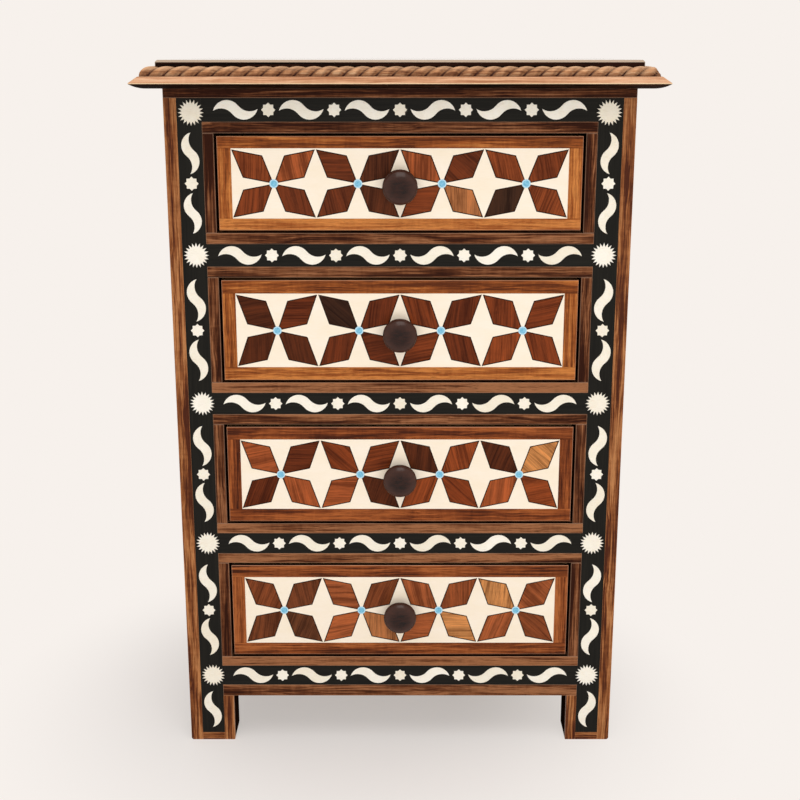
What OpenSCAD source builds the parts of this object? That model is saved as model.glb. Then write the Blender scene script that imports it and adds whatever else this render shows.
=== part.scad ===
// Nightstand with four drawers and an inlaid front, in millimetres.
// +Z is up and the front faces -Y. The origin is on the floor, under the middle of the
// whole object's outline.

/* [Case] */
// Width of the case across the front
case_w = 450; // [420:5:520]
// Depth of the case from its face to its back
case_d = 320; // [280:5:400]
// Height of the open feet below the base strip
foot_h = 52; // [46:1:90]
// Depth of a front post behind the face strips
front_post_d = 34; // [26:1:50]
// Width of a back post
back_post_w = 42; // [32:1:50]
// Depth of a back post
back_post_d = 34; // [26:1:50]
// Thickness of a front rail behind the face strips
front_rail_t = 20; // [16:1:24]
// Thickness of a side or back rail
rail_t = 20; // [16:1:24]
// Height of an upper side or back rail
upper_rail_h = 42; // [30:1:60]
// Height of a lower side or back rail
lower_rail_h = 46; // [30:1:60]
// Thickness of a side panel
side_panel_t = 8; // [5:0.5:10]
// Thickness of the back panel
back_panel_t = 6; // [4:0.5:10]
// Depth of the grooves that hold the panels
panel_groove = 6; // [3:0.5:8]
// Width of the glue line between neighbouring pieces of one kind
glue = 0.1; // [0.05:0.05:0.2]

/* [Drawers] */
// Height of the front of each of the three lower drawers
drawer_h = 101; // [90:1:130]
// Height of the front of the top drawer
top_drawer_h = 90; // [84:1:130]
// Gap round a drawer front in its opening
drawer_gap = 2.7; // [1.5:0.1:4]
// Thickness of the frame and the marquetry panel on a drawer front
drawer_face_t = 6; // [4:0.5:8]
// Width of the upright frame strips on a drawer front
frame_stile_w = 13.3; // [10:0.1:18]
// Height of the frame strips along a lower drawer front
frame_rail_h = 13.2; // [10:0.1:18]
// Height of the frame strips along the top drawer front
top_frame_rail_h = 11.4; // [9:0.1:16]
// Thickness of the board behind the drawer face
front_board_t = 14; // [10:0.5:14]
// Thickness of a drawer side
drawer_side_t = 10; // [8:0.5:14]
// Thickness of a drawer back
drawer_back_t = 10; // [6:0.5:14]
// Thickness of a drawer bottom
drawer_bottom_t = 5; // [3:0.5:7]
// Depth of the grooves and housings in the drawer box
drawer_groove = 5; // [3:0.5:6]
// Height of a drawer bottom above the lower edge of the sides
bottom_lift = 9; // [6:0.5:14]
// Distance from the top of a drawer front down to the top of its sides
side_drop = 9; // [5:0.5:20]
// Distance from the top of a drawer side down to the top of the back
back_drop = 6; // [0:0.5:12]
// Width of the space beside a drawer box that the guides fill, with the drawer gap
side_space = 8; // [6:0.5:12]
// Free depth behind the drawer boxes
back_space = 30; // [18:1:80]
// Running clearance between a drawer box and what it slides on
slide_clear = 0.3; // [0.2:0.05:0.8]

/* [Runners] */
// Height of a runner
runner_h = 18; // [12:1:26]
// Width of the part of a runner that lies under the drawer box
runner_lap = 14; // [10:1:20]
// Height of a guide on its runner
guide_h = 12; // [8:1:16]
// Height of a stop behind a drawer side
stop_h = 14; // [8:1:20]
// Length of a stop
stop_l = 12; // [8:1:16]

/* [Face] */
// Thickness of the strips and bands on the front
face_t = 6; // [4:0.5:8]
// Width of the light strip at each outer edge
edge_strip_w = 12.4; // [8:0.1:20]
// Width of the black band up each post
post_band_w = 23.6; // [23.6:0.1:30]
// Height of a black band across a rail
band_h = 22; // [19:0.5:30]
// Width of the trim round each drawer opening
trim_w = 10.8; // [8:0.1:16]
// Height of the strip below the lowest band
base_strip_h = 13; // [10:0.5:20]
// Height of the frieze strip under the cornice
frieze_h = 9; // [6:0.5:16]
// Height of the strip below the black band in a foot
toe_strip_h = 8.5; // [5:0.5:12]

/* [Inlay] */
// Depth of the light inlays and their pockets
inlay_t = 3; // [1.5:0.5:3.5]
// Radius of every arc of a wave
wave_r = 13.9; // [13:0.1:14.5]
// Height of a wave from trough to crest
wave_h = 18.4; // [17:0.1:18.8]
// Distance from a wave's middle to its crest
wave_crest = 8; // [7:0.1:8.5]
// Slope of the line between the centres of a wave's crest and hollow
wave_slope = 38.5; // [37:0.5:41]
// Outer radius of an eight-point star
star_r = 6.9; // [4:0.1:8]
// Radius of the inner corners of an eight-point star
star_in_r = 5.3; // [3:0.1:5.8]
// Outer radius of a sunburst
sun_r = 12.6; // [10:0.1:13]
// Radius of the inner corners of a sunburst
sun_in_r = 8.7; // [7:0.1:9.8]
// Points of a sunburst
sun_points = 20; // [12:2:28]
// Margin between a sunburst and the strips outside it and above it
sun_margin = 1; // [0.3:0.1:2]
// Gap between a wave and a star in a band across
motif_gap = 3; // [1:0.1:4]
// Gap between a wave and a star in a band up a post
post_motif_gap = 2; // [1:0.1:4]

/* [Marquetry] */
// Number of rhomb flowers across a drawer front
flowers = 4; // [2:2:6]
// Margin between the far tips of the rhombs and the panel's edge
rhomb_margin = 1; // [0.5:0.1:3]
// Half the gap between the far tips of neighbouring rhombs
tip_gap = 0.4; // [0.3:0.1:1.5]
// Share of a flower's half width at which a rhomb's steep side ends
rhomb_steep = 0.26; // [0.2:0.01:0.34]
// Share of a flower's half height at which a rhomb's flat side ends
rhomb_flat = 0.175; // [0.12:0.005:0.25]
// Diameter of the disc at a flower's middle
dot_d = 8.6; // [6:0.1:12]

/* [Knobs] */
// Diameter of a knob
knob_d = 34; // [28:1:40]
// Reach of a knob from the drawer face
knob_reach = 24; // [20:1:26]
// Diameter of a knob's foot
knob_foot_d = 16; // [12:0.5:18]
// Diameter of a knob's neck
knob_neck_d = 12; // [9:0.5:14]
// Thickness of a knob's foot
knob_foot_t = 2.5; // [1.5:0.5:4]
// Thickness of a knob's head
knob_head_t = 18; // [14:1:19]
// Diameter of a knob screw
knob_screw_d = 4; // [3:0.5:5]
// Length of thread in a knob
knob_bite = 12; // [8:1:14]
// Drop of a knob below the middle of its drawer front
knob_drop = 2; // [0:0.5:4]

/* [Top] */
// Thickness of the board that closes the case
top_board_t = 11; // [9:0.5:16]
// Reach of the cornice beyond the case
cornice_out = 27; // [22:0.5:32]
// Reach of the flat part of the cornice's underside beyond the case
cornice_flat = 12.5; // [8:0.5:16]
// Radius of the swell under the cornice
cornice_swell_r = 26; // [26:0.5:60]
// Height of the blunt edge of the cornice
cornice_edge = 0.9; // [0.5:0.1:2]
// Set-back of the cornice's upper edge from its tip
cornice_bevel = 7.5; // [4:0.5:9]
// Height and radius of the quarter-round rope moulding
rope_h = 9.3; // [8:0.1:12]
// Set-back of the rope's front from the cornice's upper edge
rope_set = 1.4; // [0:0.1:3]
// Reach of the top slab beyond the case
slab_out = 5; // [1:0.5:6]
// Thickness of the top slab
slab_t = 15; // [13.5:0.5:24]
// Bevel along the slab's upper edges
slab_bevel = 1.8; // [0.5:0.1:3]
// Reach of the top beyond the case at the back
top_back_out = 3; // [0:0.5:10]

/* [Screws] */
// Diameter of a top screw
top_screw_d = 4; // [3:0.5:5]
// Diameter of a screw's head
screw_head_d = 8; // [7:0.5:9]
// Thickness of a screw's head
screw_head_t = 3; // [2:0.5:4]
// Wood that a top screw clamps under the top board
screw_clamp = 14; // [8:1:20]
// Length of a top screw in the top board
top_screw_bite = 7.5; // [4:0.5:8]
// Clearance round a screw in its hole
screw_clear = 0.15; // [0.1:0.05:0.4]
// Clearance round a screw's head in its counterbore
head_clear = 0.5; // [0.2:0.1:1]

/* [Hidden] */

cut = 0.5;
round_fn = 64;
small_fn = 32;

// Colours, as the photograph shows them
walnut = "saddlebrown";
dark_walnut = "#4a2d1c";
light_walnut = "#a0643a";
black_wood = "#1f1e17";
bone = "#f3ead6";
cream = "#fdf2de";
turquoise = "#7cbfdc";
rhomb_wood = "#6b3a24";
knob_wood = "#2f2019";
box_wood = "#c79a63";
screw_steel = "#8d8f92";

// Depths: the whole object is centred on Y = 0
whole_d = cornice_out + case_d + top_back_out;
front_y = cornice_out - whole_d / 2;
back_y = front_y + case_d;
top_back_y = back_y + top_back_out;
core_y = front_y + face_t;
post_back_y = core_y + front_post_d;
rail_back_y = core_y + front_rail_t;
back_post_y = back_y - back_post_d;
back_rail_y = back_y - rail_t;
back_mid_y = back_y - rail_t / 2;
inlay_y = front_y + inlay_t;

// Widths
half_w = case_w / 2;
post_w = edge_strip_w + post_band_w + trim_w;
post_in_x = half_w - post_w;
band_in_x = half_w - edge_strip_w - post_band_w;
band_x = band_in_x + post_band_w / 2;
rail_in_x = half_w - rail_t;
rail_mid_x = half_w - rail_t / 2;
back_post_x = half_w - back_post_w;
drawer_half_w = post_in_x - drawer_gap;
panel_w = 2 * (drawer_half_w - frame_stile_w);

// Heights: level 0 is the lowest drawer
levels = 4;
level_h = [drawer_h, drawer_h, drawer_h, top_drawer_h];
level_frame_h = [frame_rail_h, frame_rail_h, frame_rail_h, top_frame_rail_h];
function band_z(i) =
    i == 0 ? foot_h + base_strip_h
           : band_z(i - 1) + band_h + 2 * trim_w + 2 * drawer_gap + level_h[i - 1];
function opening_z(i) = band_z(i) + band_h + trim_w;
function opening_h(i) = level_h[i] + 2 * drawer_gap;
function front_z(i) = opening_z(i) + drawer_gap;
function front_mid_z(i) = front_z(i) + level_h[i] / 2;
function knob_z(i) = front_mid_z(i) - knob_drop;
function band_mid_z(i) = band_z(i) + band_h / 2;
frieze_z = band_z(levels) + band_h;
case_top_z = frieze_z + frieze_h;
board_top_z = case_top_z + top_board_t;
slab_top_z = board_top_z + slab_t;
upper_rail_z = case_top_z - upper_rail_h;
panel_z = foot_h + lower_rail_h - panel_groove;
panel_h = upper_rail_z + panel_groove - panel_z;

// Drawer boxes
box_half_w = post_in_x - side_space;
box_in_x = box_half_w - drawer_side_t;
board_y = front_y + drawer_face_t;
board_back_y = board_y + front_board_t;
box_back_y = back_rail_y - back_space;
function side_z(i) = opening_z(i) + slide_clear;
function side_top_z(i) = front_z(i) + level_h[i] - side_drop;
function bottom_z(i) = side_z(i) + bottom_lift;

// Wave: its upper side is an arc over the crest, then an arc through the hollow that leads on
// from it, both of one radius. Its lower side is the same line turned half round.
wave_a = [-wave_crest, wave_h / 2 - wave_r];
wave_b = wave_a + 2 * wave_r * [cos(wave_slope), sin(wave_slope)];
wave_split = wave_a + wave_b;
wave_chord = sqrt(wave_r * wave_r - (wave_split * wave_split) / 4);
wave_tip = (wave_b - wave_a) / 2
    + wave_chord * [wave_split[1], -wave_split[0]] / norm(wave_split);
wave_l = 2 * wave_tip[0];
crest_steps = 10;
hollow_steps = 7;
tip_a_turn = atan2(-wave_tip[1] - wave_a[1], -wave_tip[0] - wave_a[0]);
crest_from = tip_a_turn < 0 ? tip_a_turn + 360 : tip_a_turn;
hollow_to = 360 + atan2(wave_tip[1] - wave_b[1], wave_tip[0] - wave_b[0]);
wave_side = [
    for (k = [0 : crest_steps])
        let (a = crest_from + (wave_slope - crest_from) * k / crest_steps)
            wave_a + wave_r * [cos(a), sin(a)],
    for (k = [1 : hollow_steps - 1])
        let (a = 180 + wave_slope + (hollow_to - 180 - wave_slope) * k / hollow_steps)
            wave_b + wave_r * [cos(a), sin(a)]
];

// Places of the motifs in the bands
motif_pitch = wave_l + 2 * star_r + 2 * motif_gap;
sun_x = half_w - edge_strip_w - sun_margin - sun_r;
function sun_z(i) = min(band_mid_z(i), frieze_z - sun_margin - sun_r);
half_motifs = floor((sun_x - sun_r - motif_gap - wave_l / 2) / motif_pitch + 0.5);
tall_bay = band_mid_z(1) - band_mid_z(0);
function bay_scale(i) = (band_mid_z(i + 1) - band_mid_z(i)) / tall_bay;
function bay_step(i) = star_r + post_motif_gap + wave_l * bay_scale(i) / 2;
function bay_mid_z(i) = (band_mid_z(i) + band_mid_z(i + 1)) / 2;
foot_wave_z = (toe_strip_h + band_mid_z(0) - sun_r) / 2;

// Screws that hold the top board, two in each side rail and one in each end rail
side_screw_y = (back_post_y - post_back_y) / 4;
side_mid_y = (back_post_y + post_back_y) / 2;
front_screw_y = (core_y + rail_back_y) / 2;
top_screw_places = [
    [rail_mid_x, side_mid_y - side_screw_y], [rail_mid_x, side_mid_y + side_screw_y],
    [-rail_mid_x, side_mid_y - side_screw_y], [-rail_mid_x, side_mid_y + side_screw_y],
    [0, front_screw_y], [0, back_mid_y]
];

// Helpers

module mirrored_x() {
    children();
    mirror([1, 0, 0]) children();
}

// A box between two opposite corners
module between(low, high) {
    translate(low) cube(high - low);
}

// A flat shape drawn in X and Z, with its back at y and its front t nearer the viewer
module on_face(y, t) {
    translate([0, y, 0]) rotate([90, 0, 0]) linear_extrude(t) children();
}

// Motifs, each drawn about its own middle

module wave() {
    polygon([for (turn = [1, -1], p = wave_side) turn * p]);
}

module pointed_disc(points, r_out, r_in) {
    polygon([
        for (i = [0 : 2 * points - 1])
            let (r = i % 2 == 0 ? r_out : r_in, a = 90 + i * 180 / points)
                r * [cos(a), sin(a)]
    ]);
}

module band_waves() {
    for (i = [0 : levels], k = [1 : half_motifs])
        translate([(k - 0.5) * motif_pitch, band_mid_z(i)]) {
            mirror([1, 0]) wave();
            translate([-(2 * k - 1) * motif_pitch, 0]) wave();
        }
}

module post_wave(z, part) {
    for (side = [-1, 1])
        translate([side * band_x, z]) scale(part) {
            if (side < 0)
                rotate(90) mirror([1, 0]) wave();
            else
                mirror([1, 0]) rotate(90) mirror([1, 0]) wave();
        }
}

module all_waves() {
    band_waves();
    for (i = [0 : levels - 1], up = [-1, 1])
        post_wave(bay_mid_z(i) + up * bay_step(i), bay_scale(i));
    post_wave(foot_wave_z, 1);
}

module all_stars() {
    for (i = [0 : levels], k = [1 - half_motifs : half_motifs - 1])
        translate([k * motif_pitch, band_mid_z(i)]) pointed_disc(8, star_r, star_in_r);
    for (i = [0 : levels - 1], side = [-1, 1])
        translate([side * band_x, bay_mid_z(i)]) pointed_disc(8, star_r, star_in_r);
}

module all_suns() {
    for (i = [0 : levels], side = [-1, 1])
        translate([side * sun_x, sun_z(i)]) pointed_disc(sun_points, sun_r, sun_in_r);
}

// Case frame

module side_panel_groove(y_from, y_to) {
    between([rail_mid_x - side_panel_t / 2, y_from, panel_z],
            [rail_mid_x + side_panel_t / 2, y_to, panel_z + panel_h]);
}

module front_post() {
    color(walnut) difference() {
        between([post_in_x, core_y, 0], [half_w, post_back_y, case_top_z]);
        side_panel_groove(post_back_y - panel_groove, post_back_y + cut);
    }
}

module left_front_post() {
    mirror([1, 0, 0]) front_post();
}

module right_front_post() {
    front_post();
}

module back_posts() {
    color(walnut) mirrored_x() difference() {
        between([back_post_x, back_post_y, 0], [half_w, back_y, case_top_z]);
        side_panel_groove(back_post_y - cut, back_post_y + panel_groove);
        between([back_post_x - cut, back_mid_y - back_panel_t / 2, panel_z],
                [back_post_x + panel_groove, back_mid_y + back_panel_t / 2, panel_z + panel_h]);
    }
}

// Bores for the top screws, opened from below so that screw_clamp of wood is left
module top_screw_bores(rail_h) {
    for (p = top_screw_places) {
        translate([p[0], p[1], case_top_z - screw_clamp - cut])
            cylinder(h = screw_clamp + 2 * cut, d = top_screw_d + 2 * screw_clear, $fn = small_fn);
        translate([p[0], p[1], case_top_z - rail_h - cut])
            cylinder(h = rail_h - screw_clamp + cut, d = screw_head_d + 2 * head_clear,
                     $fn = small_fn);
    }
}

module front_rails() {
    color(walnut) difference() {
        for (i = [0 : levels]) {
            low = i == 0 ? foot_h : band_z(i) - trim_w;
            high = i == levels ? case_top_z : opening_z(i);
            between([-post_in_x, core_y, low], [post_in_x, rail_back_y, high]);
        }
        top_screw_bores(case_top_z - band_z(levels) + trim_w);
    }
}

module side_rail(low, high) {
    between([rail_in_x, post_back_y, low], [half_w, back_post_y, high]);
}

module back_rail(low, high) {
    between([-back_post_x, back_rail_y, low], [back_post_x, back_y, high]);
}

module frame_rails() {
    lower_top = foot_h + lower_rail_h;
    color(walnut) difference() {
        union() {
            mirrored_x() {
                side_rail(foot_h, lower_top);
                side_rail(upper_rail_z, case_top_z);
            }
            back_rail(foot_h, lower_top);
            back_rail(upper_rail_z, case_top_z);
        }
        mirrored_x() side_panel_groove(post_back_y - cut, back_post_y + cut);
        between([-back_post_x - cut, back_mid_y - back_panel_t / 2, panel_z],
                [back_post_x + cut, back_mid_y + back_panel_t / 2, panel_z + panel_h]);
        top_screw_bores(upper_rail_h);
    }
}

module right_side_panel() {
    color(light_walnut)
        side_panel_groove(post_back_y - panel_groove, back_post_y + panel_groove);
}

module left_side_panel() {
    mirror([1, 0, 0]) right_side_panel();
}

module back_panel() {
    reach = back_post_x + panel_groove;
    color(light_walnut)
        between([-reach, back_mid_y - back_panel_t / 2, panel_z],
                [reach, back_mid_y + back_panel_t / 2, panel_z + panel_h]);
}

// One level's runner, guide and stop on the right side
module runner_set(i) {
    top = opening_z(i);
    lap_x = box_half_w - runner_lap;
    guide_x = box_half_w + slide_clear;
    union() {
        between([lap_x, rail_back_y, top - runner_h], [post_in_x, back_post_y, top]);
        between([post_in_x - cut, post_back_y, top - runner_h], [rail_in_x, back_post_y, top]);
    }
    between([guide_x, rail_back_y, top + glue], [post_in_x, back_post_y, top + guide_h]);
    between([lap_x, box_back_y + slide_clear, top + glue],
            [guide_x - glue, box_back_y + slide_clear + stop_l, top + stop_h]);
}

module drawer_runners() {
    color(box_wood) mirrored_x() for (i = [0 : levels - 1]) runner_set(i);
}

// Face strips and inlays

module edge_strips() {
    color(light_walnut) mirrored_x() {
        between([half_w - edge_strip_w, front_y, 0], [half_w, core_y, frieze_z]);
        between([band_in_x + glue, front_y, 0],
                [half_w - edge_strip_w - glue, core_y, toe_strip_h]);
        between([post_in_x, front_y, 0], [band_in_x, core_y, foot_h]);
    }
}

module trim_strips() {
    color(dark_walnut) {
        between([-half_w, front_y, frieze_z], [half_w, core_y, case_top_z]);
        between([-band_in_x, front_y, foot_h], [band_in_x, core_y, band_z(0)]);
        for (i = [0 : levels - 1]) {
            between([-band_in_x, front_y, opening_z(i) - trim_w],
                    [band_in_x, core_y, opening_z(i)]);
            between([-band_in_x, front_y, opening_z(i) + opening_h(i)],
                    [band_in_x, core_y, opening_z(i) + opening_h(i) + trim_w]);
            mirrored_x()
                between([post_in_x, front_y, opening_z(i) + glue],
                        [band_in_x, core_y, opening_z(i) + opening_h(i) - glue]);
        }
    }
}

module black_bands() {
    color(black_wood) difference() {
        union() {
            mirrored_x()
                between([band_in_x, front_y, toe_strip_h],
                        [half_w - edge_strip_w, core_y, frieze_z]);
            for (i = [0 : levels])
                between([glue - band_in_x, front_y, band_z(i)],
                        [band_in_x - glue, core_y, band_z(i) + band_h]);
        }
        on_face(inlay_y, inlay_t + cut) {
            all_waves();
            all_stars();
            all_suns();
        }
    }
}

module bone_waves() {
    color(bone) on_face(inlay_y, inlay_t) all_waves();
}

module bone_stars() {
    color(bone) on_face(inlay_y, inlay_t) all_stars();
}

module bone_sunbursts() {
    color(bone) on_face(inlay_y, inlay_t) all_suns();
}

// Top

module case_top_board() {
    color(walnut) difference() {
        between([-half_w, front_y, case_top_z], [half_w, top_back_y, board_top_z]);
        for (p = top_screw_places)
            translate([p[0], p[1], case_top_z - cut])
                cylinder(h = top_screw_bite + cut + screw_clear, d = top_screw_d + 2 * screw_clear,
                         $fn = small_fn);
    }
}

// Section of the cornice: x runs outward from the case, y up from the case top
module cornice_section() {
    run = cornice_out - cornice_flat;
    nose = cornice_swell_r - sqrt(cornice_swell_r * cornice_swell_r - run * run);
    intersection() {
        polygon([
            [0, 0], [cornice_out, 0], [cornice_out, nose + cornice_edge],
            [cornice_out - cornice_bevel, top_board_t], [0, top_board_t]
        ]);
        union() {
            square([cornice_flat, top_board_t]);
            translate([cornice_flat, cornice_swell_r]) circle(cornice_swell_r, $fn = 2 * round_fn);
        }
    }
}

// Section of the rope moulding: a quarter-round that fills the step between slab and cornice edge
module rope_section() {
    inner = slab_out + glue;
    outer = cornice_out - cornice_bevel - rope_set;
    intersection() {
        translate([inner, 0]) square([outer - inner, rope_h]);
        union() {
            square([outer - rope_h, rope_h]);
            translate([outer - rope_h, 0]) circle(rope_h, $fn = 2 * round_fn);
        }
    }
}

// Runs a section along the front and both sides of the case at height z, mitred at the corners
module mitred_round(z) {
    far = cornice_out + cut;
    intersection() {
        translate([-half_w - far, front_y, z]) rotate([90, 0, 90])
            linear_extrude(2 * (half_w + far)) mirror([1, 0]) children();
        linear_extrude(slab_top_z)
            polygon([[-half_w - far, front_y - far], [half_w + far, front_y - far],
                     [half_w, front_y], [-half_w, front_y]]);
    }
    mirrored_x() intersection() {
        translate([half_w, top_back_y, z]) rotate([90, 0, 0])
            linear_extrude(top_back_y - front_y + far) children();
        linear_extrude(slab_top_z) translate([0, glue])
            polygon([[half_w, front_y], [half_w + far, front_y - far],
                     [half_w + far, top_back_y], [half_w, top_back_y]]);
    }
}

module cornice() {
    color(walnut) mitred_round(case_top_z) cornice_section();
}

module rope_moulding() {
    color(light_walnut) mitred_round(board_top_z) rope_section();
}

module top_slab() {
    x = half_w + slab_out;
    y = front_y - slab_out;
    color(dark_walnut) intersection() {
        translate([-x, 0, board_top_z]) rotate([90, 0, 90]) linear_extrude(2 * x)
            polygon([[y, 0], [top_back_y, 0], [top_back_y, slab_t], [y + slab_bevel, slab_t],
                     [y, slab_t - slab_bevel]]);
        translate([0, top_back_y + cut, board_top_z]) rotate([90, 0, 0])
            linear_extrude(top_back_y - y + 2 * cut)
            polygon([[-x, 0], [x, 0], [x, slab_t - slab_bevel], [x - slab_bevel, slab_t],
                     [slab_bevel - x, slab_t], [-x, slab_t - slab_bevel]]);
    }
}

module top_screws() {
    seat_z = case_top_z - screw_clamp;
    color(screw_steel) for (p = top_screw_places) translate([p[0], p[1], seat_z]) {
        cylinder(h = screw_clamp + top_screw_bite, d = top_screw_d, $fn = small_fn);
        translate([0, 0, -screw_head_t]) cylinder(h = screw_head_t, d = screw_head_d, $fn = small_fn);
    }
}

// Drawers: i is the level, counted from the lowest

module knob_bore(i) {
    translate([0, board_back_y + cut, knob_z(i)]) rotate([90, 0, 0])
        cylinder(h = board_back_y - front_y + 2 * cut, d = knob_screw_d + 2 * screw_clear,
                 $fn = small_fn);
}

module drawer_board(i) {
    color(box_wood) difference() {
        between([-drawer_half_w, board_y, front_z(i)],
                [drawer_half_w, board_back_y, front_z(i) + level_h[i]]);
        mirrored_x()
            between([box_in_x, board_back_y - drawer_groove, front_z(i) - cut],
                    [box_half_w, board_back_y + cut, side_top_z(i)]);
        between([-box_in_x - cut, board_back_y - drawer_groove, bottom_z(i)],
                [box_in_x + cut, board_back_y + cut, bottom_z(i) + drawer_bottom_t]);
        knob_bore(i);
    }
}

module drawer_frame(i) {
    z = front_z(i);
    top = z + level_h[i];
    rail = level_frame_h[i];
    color(light_walnut) {
        between([-drawer_half_w, front_y, z], [drawer_half_w, board_y, z + rail]);
        between([-drawer_half_w, front_y, top - rail], [drawer_half_w, board_y, top]);
        mirrored_x()
            between([panel_w / 2, front_y, z + rail + glue],
                    [drawer_half_w, board_y, top - rail - glue]);
    }
}

// The quarter of a flower above and to the right of its middle
module rhomb(reach_x, reach_z) {
    polygon([
        [0, 0], [rhomb_steep * reach_x, (1 - rhomb_flat) * reach_z], [reach_x, reach_z],
        [(1 - rhomb_steep) * reach_x, rhomb_flat * reach_z]
    ]);
}

module at_flowers(i) {
    for (k = [0 : flowers - 1])
        translate([(k - (flowers - 1) / 2) * panel_w / flowers, front_mid_z(i)]) children();
}

module flower_rhombs(i) {
    reach_x = panel_w / flowers / 2 - tip_gap;
    reach_z = level_h[i] / 2 - level_frame_h[i] - rhomb_margin;
    at_flowers(i) difference() {
        for (flip_x = [0, 1], flip_z = [0, 1])
            mirror([flip_x, 0]) mirror([0, flip_z]) rhomb(reach_x, reach_z);
        circle(d = dot_d, $fn = small_fn);
    }
}

module flower_discs(i) {
    at_flowers(i) circle(d = dot_d, $fn = small_fn);
}

module drawer_panel(i) {
    z = front_z(i) + level_frame_h[i];
    color(cream) difference() {
        between([-panel_w / 2, front_y, z],
                [panel_w / 2, board_y, z + level_h[i] - 2 * level_frame_h[i]]);
        on_face(inlay_y, inlay_t + cut) {
            flower_rhombs(i);
            flower_discs(i);
        }
        knob_bore(i);
    }
}

module drawer_rhombs(i) {
    color(rhomb_wood) on_face(inlay_y, inlay_t) flower_rhombs(i);
}

module drawer_discs(i) {
    color(turquoise) on_face(inlay_y, inlay_t) flower_discs(i);
}

module drawer_sides(i) {
    color(box_wood) mirrored_x() difference() {
        between([box_in_x, board_back_y - drawer_groove, side_z(i)],
                [box_half_w, box_back_y, side_top_z(i)]);
        between([box_in_x - cut, board_back_y - drawer_groove - cut, bottom_z(i)],
                [box_in_x + drawer_groove, box_back_y + cut, bottom_z(i) + drawer_bottom_t]);
        between([box_in_x - cut, board_back_y - drawer_groove - cut, side_z(i) - cut],
                [box_half_w + cut, board_back_y, front_z(i)]);
    }
}

module drawer_back(i) {
    color(box_wood)
        between([-box_in_x, box_back_y - drawer_back_t, bottom_z(i) + drawer_bottom_t],
                [box_in_x, box_back_y, side_top_z(i) - back_drop]);
}

module drawer_bottom(i) {
    reach = box_in_x + drawer_groove;
    color(box_wood)
        between([-reach, board_back_y - drawer_groove, bottom_z(i)],
                [reach, box_back_y, bottom_z(i) + drawer_bottom_t]);
}

// A turned knob: a foot on the drawer face, a neck and an egg-shaped head
module drawer_knob(i) {
    head_mid = knob_reach - knob_head_t / 2;
    color(knob_wood) translate([0, front_y, knob_z(i)]) rotate([90, 0, 0])
        difference() {
            rotate_extrude($fn = round_fn) union() {
                square([knob_foot_d / 2, knob_foot_t]);
                square([knob_neck_d / 2, head_mid]);
                polygon([
                    for (a = [-90 : 7.5 : 90])
                        [max(0, knob_d / 2 * cos(a)), head_mid + knob_head_t / 2 * sin(a)]
                ]);
            }
            translate([0, 0, -cut])
                cylinder(h = knob_bite + screw_clear + cut, d = knob_screw_d + 2 * screw_clear,
                         $fn = small_fn);
        }
}

module drawer_knob_screw(i) {
    thread_l = board_back_y - front_y + knob_bite;
    color(screw_steel) translate([0, board_back_y, knob_z(i)]) rotate([90, 0, 0]) {
        cylinder(h = thread_l, d = knob_screw_d, $fn = small_fn);
        translate([0, 0, -screw_head_t]) cylinder(h = screw_head_t, d = screw_head_d, $fn = small_fn);
    }
}

left_front_post();
right_front_post();
back_posts();
front_rails();
frame_rails();
left_side_panel();
right_side_panel();
back_panel();
drawer_runners();
edge_strips();
trim_strips();
black_bands();
bone_waves();
bone_stars();
bone_sunbursts();
case_top_board();
cornice();
rope_moulding();
top_slab();
top_screws();
drawer_board(3);  // drawer_1_board
drawer_frame(3);  // drawer_1_frame
drawer_panel(3);  // drawer_1_panel
drawer_rhombs(3);  // drawer_1_rhombs
drawer_discs(3);  // drawer_1_discs
drawer_sides(3);  // drawer_1_sides
drawer_back(3);  // drawer_1_back
drawer_bottom(3);  // drawer_1_bottom
drawer_knob(3);  // drawer_1_knob
drawer_knob_screw(3);  // drawer_1_knob_screw
drawer_board(2);  // drawer_2_board
drawer_frame(2);  // drawer_2_frame
drawer_panel(2);  // drawer_2_panel
drawer_rhombs(2);  // drawer_2_rhombs
drawer_discs(2);  // drawer_2_discs
drawer_sides(2);  // drawer_2_sides
drawer_back(2);  // drawer_2_back
drawer_bottom(2);  // drawer_2_bottom
drawer_knob(2);  // drawer_2_knob
drawer_knob_screw(2);  // drawer_2_knob_screw
drawer_board(1);  // drawer_3_board
drawer_frame(1);  // drawer_3_frame
drawer_panel(1);  // drawer_3_panel
drawer_rhombs(1);  // drawer_3_rhombs
drawer_discs(1);  // drawer_3_discs
drawer_sides(1);  // drawer_3_sides
drawer_back(1);  // drawer_3_back
drawer_bottom(1);  // drawer_3_bottom
drawer_knob(1);  // drawer_3_knob
drawer_knob_screw(1);  // drawer_3_knob_screw
drawer_board(0);  // drawer_4_board
drawer_frame(0);  // drawer_4_frame
drawer_panel(0);  // drawer_4_panel
drawer_rhombs(0);  // drawer_4_rhombs
drawer_discs(0);  // drawer_4_discs
drawer_sides(0);  // drawer_4_sides
drawer_back(0);  // drawer_4_back
drawer_bottom(0);  // drawer_4_bottom
drawer_knob(0);  // drawer_4_knob
drawer_knob_screw(0);  // drawer_4_knob_screw
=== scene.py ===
import random
from math import asin, atan2, cos, hypot, pi, radians, sin, sqrt

import bmesh
import bpy
from mathutils import Matrix, Vector


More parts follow.
